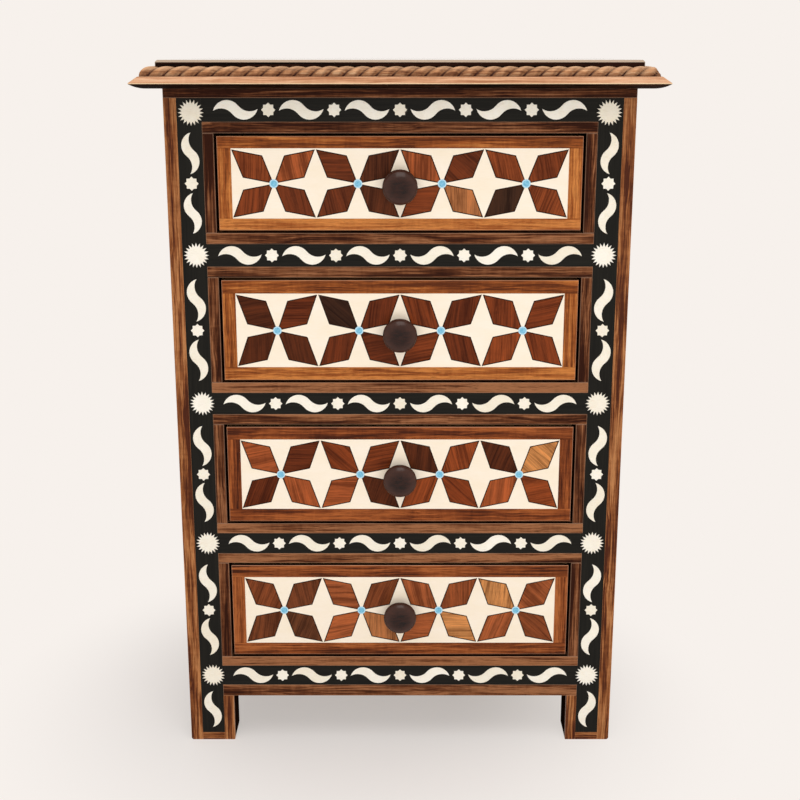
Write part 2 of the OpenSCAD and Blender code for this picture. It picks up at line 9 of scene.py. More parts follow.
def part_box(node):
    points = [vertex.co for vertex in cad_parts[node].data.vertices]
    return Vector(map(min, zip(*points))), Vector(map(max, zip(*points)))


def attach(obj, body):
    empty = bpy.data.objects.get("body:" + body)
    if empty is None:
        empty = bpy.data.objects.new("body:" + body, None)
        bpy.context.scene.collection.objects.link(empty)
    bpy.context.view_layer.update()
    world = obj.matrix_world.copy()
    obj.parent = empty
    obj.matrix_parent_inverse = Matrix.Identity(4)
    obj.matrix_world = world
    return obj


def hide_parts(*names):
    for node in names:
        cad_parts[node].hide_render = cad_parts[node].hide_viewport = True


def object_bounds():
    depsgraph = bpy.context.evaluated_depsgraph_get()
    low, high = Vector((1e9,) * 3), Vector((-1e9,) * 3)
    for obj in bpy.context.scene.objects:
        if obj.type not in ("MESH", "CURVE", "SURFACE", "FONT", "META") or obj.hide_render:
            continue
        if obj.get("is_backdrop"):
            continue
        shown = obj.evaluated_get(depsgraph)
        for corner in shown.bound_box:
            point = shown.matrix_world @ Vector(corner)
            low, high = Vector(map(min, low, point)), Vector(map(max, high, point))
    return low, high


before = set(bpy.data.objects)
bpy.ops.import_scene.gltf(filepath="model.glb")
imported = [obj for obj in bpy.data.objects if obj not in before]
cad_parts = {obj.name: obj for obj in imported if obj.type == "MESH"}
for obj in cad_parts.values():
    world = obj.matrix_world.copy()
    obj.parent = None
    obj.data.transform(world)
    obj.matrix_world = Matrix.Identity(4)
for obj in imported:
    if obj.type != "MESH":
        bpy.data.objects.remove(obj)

cad_low, cad_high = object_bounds()


# Case frame. Two front posts, two back posts and the rails between them are sawn walnut, planed
# and joined with glued tenons. Face strips hide the front posts and rails from the front; the
# rest of the frame shows at the sides, at the back and on the inner faces of the feet.

def paint(*levels):
    """A colour given as it looks on screen, from 0 to 255, as the shaders want it."""
    parts = [level / 255 for level in levels]
    return (*[p / 12.92 if p <= 0.04045 else ((p + 0.055) / 1.055) ** 2.4 for p in parts], 1.0)


def fit(node, inputs):
    """Links each input of a node to another node's output, or sets it to a plain value."""
    for name, value in inputs.items():
        if hasattr(value, "is_output"):
            node.id_data.links.new(value, node.inputs[name])
        else:
            node.inputs[name].default_value = value


def add_node(tree, kind, inputs=None, **settings):
    node = tree.nodes.new(kind)
    for name, value in settings.items():
        setattr(node, name, value)
    fit(node, inputs or {})
    return node


def new_finish(name):
    """A new material with its node tree and its surface shader."""
    finish = bpy.data.materials.new(name)
    finish.use_nodes = True
    return finish, finish.node_tree, finish.node_tree.nodes["Principled BSDF"]


def stored(tree, name, output="Fac"):
    """What the mesh holds under a name."""
    return add_node(tree, "ShaderNodeAttribute", attribute_name=name).outputs[output]


def grain_noise(source, stretch, detail, roughness, wander=0.0):
    """Noise that is drawn out along the grain; stretch is how many spots there are in a metre."""
    tree = source.id_data
    place = add_node(tree, "ShaderNodeMapping", {"Vector": source, "Scale": stretch})
    noise = add_node(tree, "ShaderNodeTexNoise", {
        "Vector": place.outputs["Vector"], "Scale": 1.0, "Detail": detail,
        "Roughness": roughness, "Distortion": wander,
    })
    return noise.outputs["Fac"]


def reckon(what, *values, clamp=False):
    """One step of arithmetic; each value is a number or another node's output."""
    tree = next(value.id_data for value in values if hasattr(value, "is_output"))
    step = add_node(tree, "ShaderNodeMath", dict(enumerate(values)), operation=what,
                    use_clamp=clamp)
    return step.outputs[0]


def plus(first, second):
    return reckon("ADD", first, second)


def less(first, second):
    return reckon("SUBTRACT", first, second)


def times(first, second):
    return reckon("MULTIPLY", first, second)


def scaled(value, factor, more):
    return reckon("MULTIPLY_ADD", value, factor, more)


def blend(amount, first, second, how="MIX"):
    mix = add_node(first.id_data, "ShaderNodeMix", {0: amount, 6: first, 7: second},
                   data_type="RGBA", blend_type=how, clamp_factor=True)
    return mix.outputs[2]


def colour_ramp(amount, *stops):
    """Colours along a ramp; each stop is a place from 0 to 1 and its colour."""
    ramp = add_node(amount.id_data, "ShaderNodeValToRGB", {"Fac": amount})
    points = ramp.color_ramp.elements
    for point, (place, colour) in zip(points, (stops[0], stops[-1])):
        point.position = place
        point.color = colour
    for place, colour in stops[1:-1]:
        points.new(place).color = colour
    return ramp.outputs["Color"]


def rescaled(value, start, end, first=0.0, last=1.0, kind="LINEAR"):
    """What lies from start to end spread over first to last, and held there beyond them."""
    step = add_node(value.id_data, "ShaderNodeMapRange", {
        "Value": value, "From Min": start, "From Max": end, "To Min": first, "To Max": last,
    }, interpolation_type=kind)
    return step.outputs["Result"]


def bumps(height, strength, depth):
    """Fine unevenness of a surface; depth is in metres."""
    bump = add_node(height.id_data, "ShaderNodeBump", {
        "Height": height, "Strength": strength, "Distance": depth})
    return bump.outputs["Normal"]


def walnut(name, deep, middle, pale, shine=0.42, coat=0.0, contrast=1.0, figure=0.12, pores=0.55,
           gloss=0.12, worn_and_lit=None, rub_and_sheen=0.45, stained=False):
    """Oiled wood whose streaks, pores and cross figure follow the grain stored on each board. A
    stained wood takes its colour from the board, and its own three only shade it."""
    finish, tree, surface = new_finish(name)
    if not stained:
        deep, middle, pale = paint(*deep), paint(*middle), paint(*pale)
    run = stored(tree, "grain", "Vector")
    sway = 0.006
    drift = grain_noise(run, (14, 40, 40), 2.0, 0.5)
    along = add_node(tree, "ShaderNodeVectorMath", {0: drift, 1: (0.0, sway, sway), 2: run},
                     operation="MULTIPLY_ADD").outputs["Vector"]
    broad = grain_noise(along, (9, 130, 130), 2.0, 0.5, 0.4)
    streaks = grain_noise(along, (16, 650, 650), 4.0, 0.62, 0.2)
    hairs = grain_noise(along, (70, 2600, 2600), 3.0, 0.7)
    cross = grain_noise(run, (130, 22, 22), 2.0, 0.5, 1.2)

    depth = plus(scaled(broad, 0.9, -0.45), scaled(streaks, 1.0, -0.5))
    depth = plus(times(depth, 1.7 * contrast), scaled(cross, 2 * figure, -figure))
    board = scaled(stored(tree, "tone"), 0.3, 0.5)
    depth = reckon("ADD", depth, board, clamp=True)
    colour = colour_ramp(depth, (0.2, deep), (0.5, middle), (0.82, pale))

    dark = (*[0.25 * part for part in deep[:3]], 1.0)
    open_pores = rescaled(hairs, 0.36, 0.5, pores, 0.0)
    colour = blend(open_pores, colour, dark)
    # Marked edges are painted paler: partly wear, partly a painted highlight where the eased edge
    # catches the light.
    light = worn_and_lit or (*[min(1.0, 1.5 * part + 0.02) for part in pale[:3]], 1.0)
    colour = blend(times(stored(tree, "wear"), rub_and_sheen), colour, light)
    if stained:
        colour = blend(1.0, colour, stored(tree, "stain", "Color"), "MULTIPLY")
    height = scaled(hairs, 0.6, streaks)
    fit(surface, {
        "Base Color": colour, "Roughness": scaled(streaks, 0.22, shine - 0.11),
        "Specular IOR Level": gloss, "Coat Weight": coat, "Coat Roughness": 0.1, "Coat IOR": 1.3,
        "Normal": bumps(height, 0.35, 0.00012),
    })
    return finish


def loose_boards(work):
    """The separate solids of a mesh, each as a list of its corners."""
    left = set(work.verts)
    boards = []
    while left:
        board = [left.pop()]
        for corner in board:
            for other in (edge.other_vert(corner) for edge in corner.link_edges):
                if other in left:
                    left.discard(other)
                    board.append(other)
        boards.append(board)

    def middle(board):
        return [round(c, 4) for c in sum((v.co for v in board), Vector()) / len(board)]

    return sorted(boards, key=middle)


def box_of(board):
    """The lowest and the highest corner of the box round a board."""
    low = Vector([min(v.co[i] for v in board) for i in range(3)])
    high = Vector([max(v.co[i] for v in board) for i in range(3)])
    return low, high


def layer(layers, name):
    return layers.get(name) or layers.new(name)


def store_grain(work, seed, tone_spread, tones=None):
    """Writes on each board where its grain runs, and how much paler or darker the board is."""
    grain = layer(work.verts.layers.float_vector, "grain")
    tone = layer(work.verts.layers.float, "tone")
    chance = random.Random(seed)
    for board in loose_boards(work):
        low, high = box_of(board)
        order = sorted(range(3), key=lambda i: low[i] - high[i])
        shift = Vector([chance.uniform(-9, 9) for _ in range(3)])
        shade = chance.uniform(-tone_spread, tone_spread)
        if tones:
            shade += tones(low, high)
        for v in board:
            v[grain] = Vector([v.co[i] for i in order]) + shift
            v[tone] = shade


def in_scene(name, data):
    thing = bpy.data.objects.new(name, data)
    bpy.context.scene.collection.objects.link(thing)
    return thing


def to_object(work, name, finish, smooth_below=32):
    """A worked mesh as a piece; bends below so many degrees are shaded smooth, or none."""
    mesh = bpy.data.meshes.new(name)
    work.to_mesh(mesh)
    work.free()
    mesh.materials.append(finish)
    if smooth_below:
        mesh.shade_smooth()
        mesh.set_sharp_from_angle(angle=radians(smooth_below))
    return in_scene(name, mesh)


def stand_in(piece, body, slot, *nodes):
    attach(piece, body)
    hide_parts(*nodes)
    return piece


def ease_edges(work, width, least, steps=2, only=None):
    """Rounds over the sharp edges that are longer than the least, and marks them to be painted
    paler: wear, and a painted highlight where the eased edge catches the light.
    """
    wear = layer(work.faces.layers.float, "wear")
    sharp_turn = 0.5
    sharp = [
        edge for edge in work.edges
        if edge.is_manifold and edge.calc_length() > least
        and edge.calc_face_angle() > sharp_turn and (only is None or only(edge))
    ]
    done = bmesh.ops.bevel(
        work, geom=sharp, offset=width, segments=steps, profile=0.5, affect="EDGES",
        clamp_overlap=True,
    )
    for face in done["faces"]:
        face[wear] = 1.0
        face.smooth = True


def face_outwards(work):
    bmesh.ops.recalc_face_normals(work, faces=work.faces)


def node_solids(node):
    """The solids of a CAD node as a mesh to work on, with their corners joined."""
    work = bmesh.new()
    work.from_mesh(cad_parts[node].data)
    bmesh.ops.remove_doubles(work, verts=work.verts, dist=1e-6)
    return work


def planed(node, name, body, slot, finish, seed, ease=0.0005, least=0.002, spread=0.6,
           tones=None, shaped=None, only=None):
    """The solids of a node as planed boards: flat faces joined up, edges eased, grain stored."""
    work = node_solids(node)
    bmesh.ops.dissolve_limit(work, angle_limit=0.01, verts=work.verts, edges=work.edges)
    if shaped:
        shaped(work)
    ease_edges(work, ease, least, only=only)
    store_grain(work, seed, spread, tones)
    return stand_in(to_object(work, name, finish, None), body, slot, node)


case_walnut = walnut("case_walnut", (62, 33, 20), (112, 66, 42), (158, 104, 68))
# The posts are painted near black and without sheen: painted shade for the inner faces of the
# feet, which lie in shadow. The back posts take the same colour.
post_shade_walnut = walnut("post_shade_walnut", (15, 7, 4), (34, 17, 10), (60, 34, 21), shine=0.7, gloss=0.0)
for node, name, finish, seed, ease in (
    ("left_front_post", "left_post", post_shade_walnut, 1, 0.0005),
    ("right_front_post", "right_post", post_shade_walnut, 2, 0.0005),
    ("back_posts", "rear_posts", post_shade_walnut, 3, 0.0012),
    ("front_rails", "rails_behind_the_face", case_walnut, 4, 0.0005),
    ("frame_rails", "side_and_back_rails", case_walnut, 5, 0.0008),
):
    planed(node, name, "carcass", "walnut", finish, seed, ease)


# Panels. The sides and the back are thin walnut panels that float in grooves of the posts and
# rails. Nothing holds them but the grooves, so that the wood can move.

panel_walnut = walnut("panel_walnut", (92, 50, 26), (138, 82, 46), (176, 116, 70), figure=0.2)
for node, name, seed in (("left_side_panel", "left_panel", 11),
                         ("right_side_panel", "right_panel", 12),
                         ("back_panel", "rear_panel", 13)):
    planed(node, name, "carcass", "light_walnut", panel_walnut, seed, spread=0.2)


# Drawer runners. On each side of each opening an L-shaped runner of planed softwood is screwed to
# the posts. A guide on it keeps the drawer straight, and a stop block ends its way in.

runner_wood = walnut(
    "runner_wood", (150, 108, 66), (190, 145, 94), (216, 176, 124), shine=0.55,
    contrast=0.8, pores=0.25)
planed("drawer_runners", "runners_guides_and_stops", "carcass", "box_wood", runner_wood, 21)


# Face strips. Thin walnut strips are glued on the front of the posts and rails: pale ones on the
# outer edges and feet, dark streaky ones round the openings and below the cornice.

edge_walnut = walnut("edge_walnut", (76, 33, 14), (136, 77, 38), (184, 124, 76), contrast=1.25)
trim_walnut = walnut(
    "trim_walnut", (50, 21, 9), (102, 57, 32), (156, 103, 68), contrast=1.1,
    gloss=0.06, worn_and_lit=paint(176, 138, 112), rub_and_sheen=0.5)
# Near black: the painted shade inside the gaps round the strips.
gap_shade_walnut = walnut("gap_shade_walnut", (8, 3, 1), (16, 6, 3), (28, 12, 6), shine=0.8, gloss=0.02)
toe_round = 0.0028
toe_strip_top = 0.02
foot_strip_top = 0.08
across_tones = {5: -0.1, 9: 1.45, 20: 0.5, 24: 0.8, 35: -0.2, 39: 1.4, 50: 0.1, 54: 0.25,
                64: -0.35, 68: -0.9}
strips_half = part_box("edge_strips")[1].x


def trim_tone(low, high):
    """How pale a trim is: those across by their height in centimetres, and the uprights darker
    towards the top."""
    if high.x - low.x > high.z - low.z:
        return across_tones.get(round(100 * low.z), 0.0)
    return 0.05 - 1.1 * low.z / cad_high.z


def edge_tone(low, high):
    """How pale an edge strip is: dark across the toes, darker on the right post than on the
    left, and darkest in the short strip on the right foot."""
    if high.z < toe_strip_top:
        return -0.8
    if low.x < 0:
        return 0.2 if high.z < foot_strip_top else 0.0
    return -0.9 if high.z < foot_strip_top else -0.4


def shade_gap_faces(piece):
    """The upper and lower edges of thin strips, seen only in the gaps, are painted near black:
    painted shade in the gaps.
    """
    piece.data.materials.append(gap_shade_walnut)
    for face in piece.data.polygons:
        if abs(face.normal.z) > 0.98:
            face.material_index = 1


def rounded_toes(work):
    """The outer bottom corner of each foot is rounded, so that it does not splinter."""
    near = 0.001
    toes = [
        edge for edge in work.edges
        if all(v.co.z < near and abs(v.co.x) > strips_half - near for v in edge.verts)
        and abs(edge.verts[0].co.y - edge.verts[1].co.y) > near
    ]
    bmesh.ops.bevel(work, geom=toes, offset=toe_round, segments=4, profile=0.5, affect="EDGES")


planed("edge_strips", "outer_strips_and_toes", "carcass", "light_walnut", edge_walnut, 31,
       ease=0.0006, spread=0.25, tones=edge_tone, shaped=rounded_toes)
shade_gap_faces(planed("trim_strips", "opening_trims_and_frieze", "carcass", "dark_walnut",
                   trim_walnut, 32, spread=0.12, tones=trim_tone))


# Black bands. Strips of wood stained black run down both posts and across each rail. Pockets are
# cut in them with a fretsaw for the bone, which is set in flush.

band_black, tree, surface = new_finish("band_black")
along = stored(tree, "grain", "Vector")
streaks = grain_noise(along, (20, 900, 900), 4.0, 0.65)
cloud = grain_noise(along, (12, 30, 30), 3.0, 0.5)
tint = colour_ramp(streaks, (0.3, paint(14, 13, 10)), (0.75, paint(30, 28, 23)))
fit(surface, {
    "Base Color": tint, "Roughness": scaled(cloud, 0.3, 0.3),
    "Specular IOR Level": 0.12, "Normal": bumps(streaks, 0.3, 0.0001),
})
planed("black_bands", "black_inlaid_bands", "carcass", "black_wood", band_black, 41, ease=0.0001,
       least=0.012)


# Bone inlay. Waves, eight-pointed stars and sunbursts are sawn from thin bone plate, glued into
# the pockets and rubbed down with the face, so that only a hair of each edge stands proud.

wave_radius = 0.0139
wave_height = 0.0184
wave_crest = 0.008
wave_turn = radians(38.5)
star_valley = 0.768
sun_valley = 0.69
plate_depth = 0.003
plate_proud = 0.00006
plate_ease = 0.00014
kerf = 0.00006


def arc(centre, radius, start, end, steps):
    """Points on an arc, the one at its end left out."""
    turns = [start + (end - start) * i / steps for i in range(steps)]
    return [centre + radius * Vector((cos(a), sin(a))) for a in turns]


def wave_outline():
    """Two arcs of one radius, a crest and a hollow, and the same turned by half a turn."""
    crest = Vector((-wave_crest, wave_height / 2 - wave_radius))
    hollow = crest + 2 * wave_radius * Vector((cos(wave_turn), sin(wave_turn)))
    split = crest + hollow
    half_chord = sqrt(wave_radius ** 2 - split.length_squared / 4)
    tip = (hollow - crest) / 2 + half_chord * Vector((split.y, -split.x)) / split.length
    start = atan2(-tip.y - crest.y, -tip.x - crest.x) % (2 * pi)
    end = atan2(tip.y - hollow.y, tip.x - hollow.x) % (2 * pi)
    side = arc(crest, wave_radius, start, wave_turn, 10)
    side += arc(hollow, wave_radius, pi + wave_turn, end, 7)
    return side + [-point for point in side], 2 * tip.x


def pointed_outline(points, outer, inner):
    turns = [pi / 2 - i * pi / points for i in range(2 * points)]
    return [(inner if i % 2 else outer) * Vector((cos(a), sin(a))) for i, a in enumerate(turns)]


def drawn_in(outline, amount):
    """A clockwise outline moved inwards by an amount, with its sharp tips held back."""
    moved = []
    for i, point in enumerate(outline):
        before = (point - outline[i - 1]).normalized()
        after = (outline[(i + 1) % len(outline)] - point).normalized()
        normal = Vector((before.y + after.y, -before.x - after.x))
        share = max(normal.length / 2, 0.25)
        if normal.length < 1e-6:
            normal = -before
        moved.append(point + normal.normalized() * amount / share)
    return moved


def sawn_plate(outline, back, front, ease):
    """A closed plate: outline in X and Z, clockwise from the front, its front edge eased."""
    work = bmesh.new()
    inner = drawn_in(outline, ease)
    rings = [
        [work.verts.new((p.x, y, p.y)) for p in points]
        for points, y in ((inner, back), (outline, back - ease), (outline, front + ease),
                          (inner, front))
    ]
    for first, second in zip(rings, rings[1:]):
        for i in range(len(outline)):
            j = (i + 1) % len(outline)
            work.faces.new((first[i], second[i], second[j], first[j]))
    work.faces.new(rings[0])
    work.faces.new(list(reversed(rings[3])))
    face_outwards(work)
    return work


def new_maker(name, *inputs):
    """A geometry tree with named inputs besides its mesh, and the outputs of its input node."""
    tree = bpy.data.node_groups.new(name, "GeometryNodeTree")
    for label, kind in (("Geometry", "Geometry"), *inputs):
        tree.interface.new_socket(label, in_out="INPUT", socket_type="NodeSocket" + kind)
    tree.interface.new_socket("Geometry", in_out="OUTPUT", socket_type="NodeSocketGeometry")
    return tree, tree.nodes.new("NodeGroupInput").outputs


def store(geometry, name, value, domain="POINT"):
    """Stores a value under a name on every point or instance."""
    marked = add_node(geometry.id_data, "GeometryNodeStoreNamedAttribute", {
        "Geometry": geometry, "Name": name, "Value": value,
    }, data_type="FLOAT", domain=domain)
    return marked.outputs["Geometry"]


def end_maker(geometry, finish):
    """Ends a geometry tree: instances become real meshes and take the finish."""
    tree = geometry.id_data
    real = add_node(tree, "GeometryNodeRealizeInstances", {"Geometry": geometry})
    coat = add_node(tree, "GeometryNodeSetMaterial", {
        "Geometry": real.outputs["Geometry"], "Material": finish})
    add_node(tree, "NodeGroupOutput", {"Geometry": coat.outputs["Geometry"]})
    return tree


def inlay_setter():
    """Sets one sawn plate on every marked spot, each with a slightly different whiteness."""
    tree, given = new_maker("inlay_setter", ("Plate", "Object"), ("Whiteness spread", "Float"),
                            ("Seed", "Int"), ("Finish", "Material"))

    def mark(name):
        return add_node(tree, "GeometryNodeInputNamedAttribute", {"Name": name},
                        data_type="FLOAT_VECTOR").outputs["Attribute"]

    plate = add_node(tree, "GeometryNodeObjectInfo", {"Object": given["Plate"]})
    spots = add_node(tree, "GeometryNodeMeshToPoints", {"Mesh": given["Geometry"]})
    turn = add_node(tree, "FunctionNodeEulerToRotation", {"Euler": mark("turn")})
    placed = add_node(tree, "GeometryNodeInstanceOnPoints", {
        "Points": spots.outputs["Points"], "Instance": plate.outputs["Geometry"],
        "Rotation": turn.outputs["Rotation"], "Scale": mark("stretch"),
    })
    chance = add_node(tree, "FunctionNodeRandomValue", {
        3: given["Whiteness spread"], "Seed": given["Seed"]}, data_type="FLOAT")
    toned = store(placed.outputs["Instances"], "tone", chance.outputs[1], "INSTANCE")
    return end_maker(toned, given["Finish"])


def made_by(tree, start_mesh, name, values):
    """Runs a node tree on a mesh with the named inputs, and keeps the result as a plain mesh."""
    carrier = in_scene(name + "_spots", start_mesh)
    worker = carrier.modifiers.new("setter", "NODES")
    worker.node_group = tree
    for item in tree.interface.items_tree:
        if item.in_out == "INPUT" and item.name in values:
            worker[item.identifier] = values[item.name]
    ready = carrier.evaluated_get(bpy.context.evaluated_depsgraph_get())
    mesh = bpy.data.meshes.new_from_object(ready)
    mesh.name = name
    bpy.data.objects.remove(carrier)
    return in_scene(name, mesh)


def own_place(tree):
    """The place on a piece in its own coordinates, which are those of the frame."""
    return add_node(tree, "ShaderNodeTexCoord").outputs["Object"]


def node_spots(node):
    """The middle and the size of each solid of a node."""
    work = node_solids(node)
    boxes = [box_of(solid) for solid in loose_boards(work)]
    work.free()
    return [((low + high) / 2, high - low) for low, high in boxes]


bone, tree, surface = new_finish("rubbed_bone")
place = own_place(tree)
cloud = grain_noise(place, (120, 120, 120), 3.0, 0.5)
lines = grain_noise(place, (240, 240, 1500), 3.0, 0.6, 0.3)
flecks = grain_noise(place, (1300, 1300, 2600), 2.0, 0.5)
shade = scaled(cloud, 0.5, stored(tree, "tone"))
tint = colour_ramp(shade, (0.1, paint(251, 246, 235)), (0.8, paint(238, 228, 207)))
faint = rescaled(lines, 0.55, 0.7, last=0.18)
tint = blend(faint, tint, paint(206, 180, 140), "MULTIPLY")
specks = rescaled(flecks, 0.3, 0.24, last=0.5)
tint = blend(specks, tint, paint(120, 96, 66))
fit(surface, {
    "Base Color": tint, "Roughness": scaled(cloud, 0.25, 0.25),
    "Specular IOR Level": 0.3, "Subsurface Weight": 0.08,
    "Subsurface Radius": (0.002, 0.0015, 0.001), "Subsurface Scale": 1.0,
    "Normal": bumps(lines, 0.2, 0.00005),
})
setter = inlay_setter()
wave_shape, wave_length = wave_outline()


def wave_lie(middle, size):
    """Waves lie along their band; those on the right are turned over, which mirrors them."""
    turn_over = pi if middle.x > 0 else 0.0
    if size.x > size.z:
        return Vector((0, 0, turn_over))
    quarter = pi / 2 if middle.x > 0 else -pi / 2
    upright = Matrix.Rotation(quarter, 4, "Y") @ Matrix.Rotation(pi - turn_over, 4, "Z")
    return Vector(upright.to_euler())


def set_bone(node, name, outline, seed, length=None):
    """Sets plates of one outline in the pockets of a node. Waves, whose length is given, are
    laid along their bands and stretched a little to fit."""
    half = plate_depth / 2
    work = sawn_plate(drawn_in(outline, kerf), half, -half - plate_proud, plate_ease)
    plate = to_object(work, name + "_plate", bone)
    spots = node_spots(node)
    marks = bpy.data.meshes.new(name + "_marks")
    marks.from_pydata([middle for middle, _ in spots], [], [])
    turns = marks.attributes.new("turn", "FLOAT_VECTOR", "POINT")
    sizes = marks.attributes.new("stretch", "FLOAT_VECTOR", "POINT")
    for i, (middle, size) in enumerate(spots):
        part = max(size.x, size.z) / length if length else 1
        turns.data[i].vector = wave_lie(middle, size) if length else (0, 0, 0)
        sizes.data[i].vector = (part, 1, part)
    piece = made_by(setter, marks, name, {
        "Plate": plate, "Whiteness spread": 0.45, "Seed": seed, "Finish": bone,
    })
    bpy.data.objects.remove(plate)
    piece.data.shade_smooth()
    piece.data.set_sharp_from_angle(angle=radians(25))
    return stand_in(piece, "carcass", "bone", node)


set_bone("bone_waves", "waves", wave_shape, 5, wave_length)
for node, name, points, valley, seed in (
    ("bone_stars", "stars", 8, star_valley, 6),
    ("bone_sunbursts", "sunbursts", 20, sun_valley, 7),
):
    tip_radius = node_spots(node)[0][1].x / 2
    set_bone(node, name, pointed_outline(points, tip_radius, valley * tip_radius), seed)


# Top board and cornice. A walnut board closes the case and is screwed up from below. The cornice
# is run in three lengths, with a hollow under its nose and a bevel on top, mitred at the corners.

top_board_walnut = walnut("top_board_walnut", (70, 38, 22), (118, 70, 44), (160, 106, 70))
cornice_walnut = walnut(
    "cornice_walnut", (180, 118, 80), (222, 165, 125), (244, 198, 160),
    contrast=0.8, figure=0.1, pores=0.3)
# The underside is the cornice's wood painted near black, a painted shade.
underside_shade_walnut = walnut(
    "underside_shade_walnut", (20, 10, 5), (40, 20, 10), (68, 38, 22), shine=0.7,
    gloss=0.02)
planed("case_top_board", "top_board", "carcass", "walnut", top_board_walnut, 51)

case_low, case_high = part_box("case_top_board")
front_y = case_low.y
rear_y = case_high.y
half_case = case_high.x
board_thick = case_high.z - case_low.z
cornice_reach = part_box("cornice")[1].x - half_case
cornice_flat = 0.0125
cornice_swell = 0.026
cornice_edge = 0.0009
cornice_bevel = 0.0075
cornice_ease = 0.0003
lit_nose_height = 0.006
mitre_gap = 0.00005


def mitred_runs(section, level):
    """Three lengths of one section: out from the case and up. The ends at the corners are cut
    at half a right angle; the back ends are cut square."""
    work = bmesh.new()

    def length(*spots):
        ends = [[work.verts.new(place(out, up)) for out, up in section] for place in spots]
        for i in range(len(section)):
            j = (i + 1) % len(section)
            work.faces.new((ends[0][i], ends[0][j], ends[1][j], ends[1][i]))
        work.faces.new(list(reversed(ends[0])))
        work.faces.new(ends[1])

    length(lambda out, up: (-half_case - out + mitre_gap, front_y - out, level + up),
           lambda out, up: (half_case + out - mitre_gap, front_y - out, level + up))
    for side in (-1, 1):
        length(lambda out, up: (side * (half_case + out), front_y - out + mitre_gap, level + up),
               lambda out, up: (side * (half_case + out), rear_y, level + up))
    face_outwards(work)
    return work


run = cornice_reach - cornice_flat
nose = cornice_swell - sqrt(cornice_swell ** 2 - run ** 2)
swell_end = asin(run / cornice_swell)
cornice_section = [(0.0, 0.0), (cornice_flat, 0.0)]
for i in range(1, 9):
    a = swell_end * i / 8
    cornice_section.append((cornice_flat + cornice_swell * sin(a),
                            cornice_swell * (1 - cos(a))))
cornice_section += [
    (cornice_reach, nose + cornice_edge), (cornice_reach - cornice_bevel, board_thick),
    (0.0, board_thick),
]
work = mitred_runs(cornice_section, case_low.z)
ease_edges(work, cornice_ease, 0.002, 1)
store_grain(work, 52, 0.25)
work.normal_update()
wear = work.faces.layers.float["wear"]
# Faces that look down are painted near black, a painted shade, and the upright ones on the nose
# are painted pale, a painted highlight.
for face in work.faces:
    if face.normal.z < -0.12:
        face.material_index = 1
        face.smooth = True
    elif abs(face.normal.z) < 0.1 and face.calc_center_median().z < case_low.z + lit_nose_height:
        face[wear] = 1.0
piece = to_object(work, "cornice_lengths", cornice_walnut, None)
piece.data.materials.append(underside_shade_walnut)
stand_in(piece, "carcass", "walnut", "cornice")


# Rope moulding. A twisted rope is carved in quarter-round lengths of pale walnut, which are glued
# on the cornice against the slab along the front and both sides, and mitred at the corners.

slab_gap = 0.0001
rope_low, rope_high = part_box("rope_moulding")
rope_inner_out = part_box("top_slab")[1].x - half_case + slab_gap
rope_radius = rope_high.z - rope_low.z
rope_middle_out = rope_high.x - half_case - rope_radius
rope_inner_reach = rope_middle_out - rope_inner_out
strand_pitch = 0.0153
strand_twist = 1.5
groove_depth = 0.24
steps_a_strand = 16
steps_round = 32


def rope_carver():
    """Carves a rope from a rod along X. It is round outside, narrower inside and flat below, and
    either end may be mitred."""
    sizes = ("Length", "Radius", "Inner reach", "Strand pitch", "Strand twist", "Groove depth",
             "Start mitre", "End mitre")
    tree, given = new_maker(
        "rope_carver", *[(size, "Float") for size in sizes], ("Steps along", "Int"),
        ("Steps round", "Int"), ("Finish", "Material"))
    rod = add_node(tree, "GeometryNodeMeshCylinder", {
        "Vertices": given["Steps round"], "Side Segments": given["Steps along"],
        "Radius": 1.0, "Depth": 1.0,
    }, fill_type="NGON")
    where = add_node(tree, "GeometryNodeInputPosition").outputs["Position"]
    parts = add_node(tree, "ShaderNodeSeparateXYZ", {"Vector": where}).outputs
    pitch = given["Strand pitch"]

    angle = reckon("ARCTAN2", parts["Y"], parts["X"])
    share = parts["Z"]
    outward = reckon("MAXIMUM", reckon("COSINE", angle), 0.0)
    inward = reckon("MINIMUM", reckon("COSINE", angle), 0.0)
    rod_out = plus(times(outward, given["Radius"]), times(inward, given["Inner reach"]))
    end_gap = times(less(0.5, reckon("ABSOLUTE", share)), given["Length"])
    near = reckon("DIVIDE", end_gap, times(pitch, 2.0))
    near = less(1.0, reckon("MINIMUM", near, 1.0))
    late = times(reckon("GREATER_THAN", share, 0.0), given["End mitre"])
    early = times(reckon("LESS_THAN", share, 0.0), given["Start mitre"])
    lean = times(less(late, early), near)

    turn = times(reckon("DIVIDE", reckon("ABSOLUTE", angle), pi), given["Strand twist"])
    slide = times(times(turn, pitch), less(1.0, near))
    middle = plus(times(share, given["Length"]), slide)
    along = plus(middle, times(lean, rod_out))
    phase = less(reckon("DIVIDE", along, pitch), turn)
    crest = reckon("ABSOLUTE", reckon("COSINE", times(phase, pi)))
    crest = reckon("POWER", crest, 0.6)
    kept = less(1.0, times(less(1.0, crest), given["Groove depth"]))
    out = times(rod_out, kept)
    height = reckon("MAXIMUM", times(reckon("SINE", angle), kept), 0.0)
    place = add_node(tree, "ShaderNodeCombineXYZ", {
        "X": plus(middle, times(lean, out)), "Y": times(out, -1.0),
        "Z": times(height, given["Radius"]),
    })

    # Painted shade: dark in the grooves, on the shaded side of each strand and along the foot;
    # the grooves also hold dirt.
    hollow = times(less(1.0, crest), less(1.35, times(height, 0.85)))
    belly_shade = reckon("MAXIMUM", reckon("SINE", times(phase, 2 * pi)), 0.0)
    belly_shade = times(belly_shade, less(0.75, times(height, 0.5)))
    shade_and_dirt = reckon("MAXIMUM", reckon("MAXIMUM", hollow, belly_shade), less(0.68, height))
    rope = store(rod.outputs["Mesh"], "groove", shade_and_dirt)
    rope = store(rope, "crown", height)
    carved = add_node(tree, "GeometryNodeSetPosition", {
        "Geometry": rope, "Position": place.outputs["Vector"]})
    return end_maker(carved.outputs["Geometry"], given["Finish"])
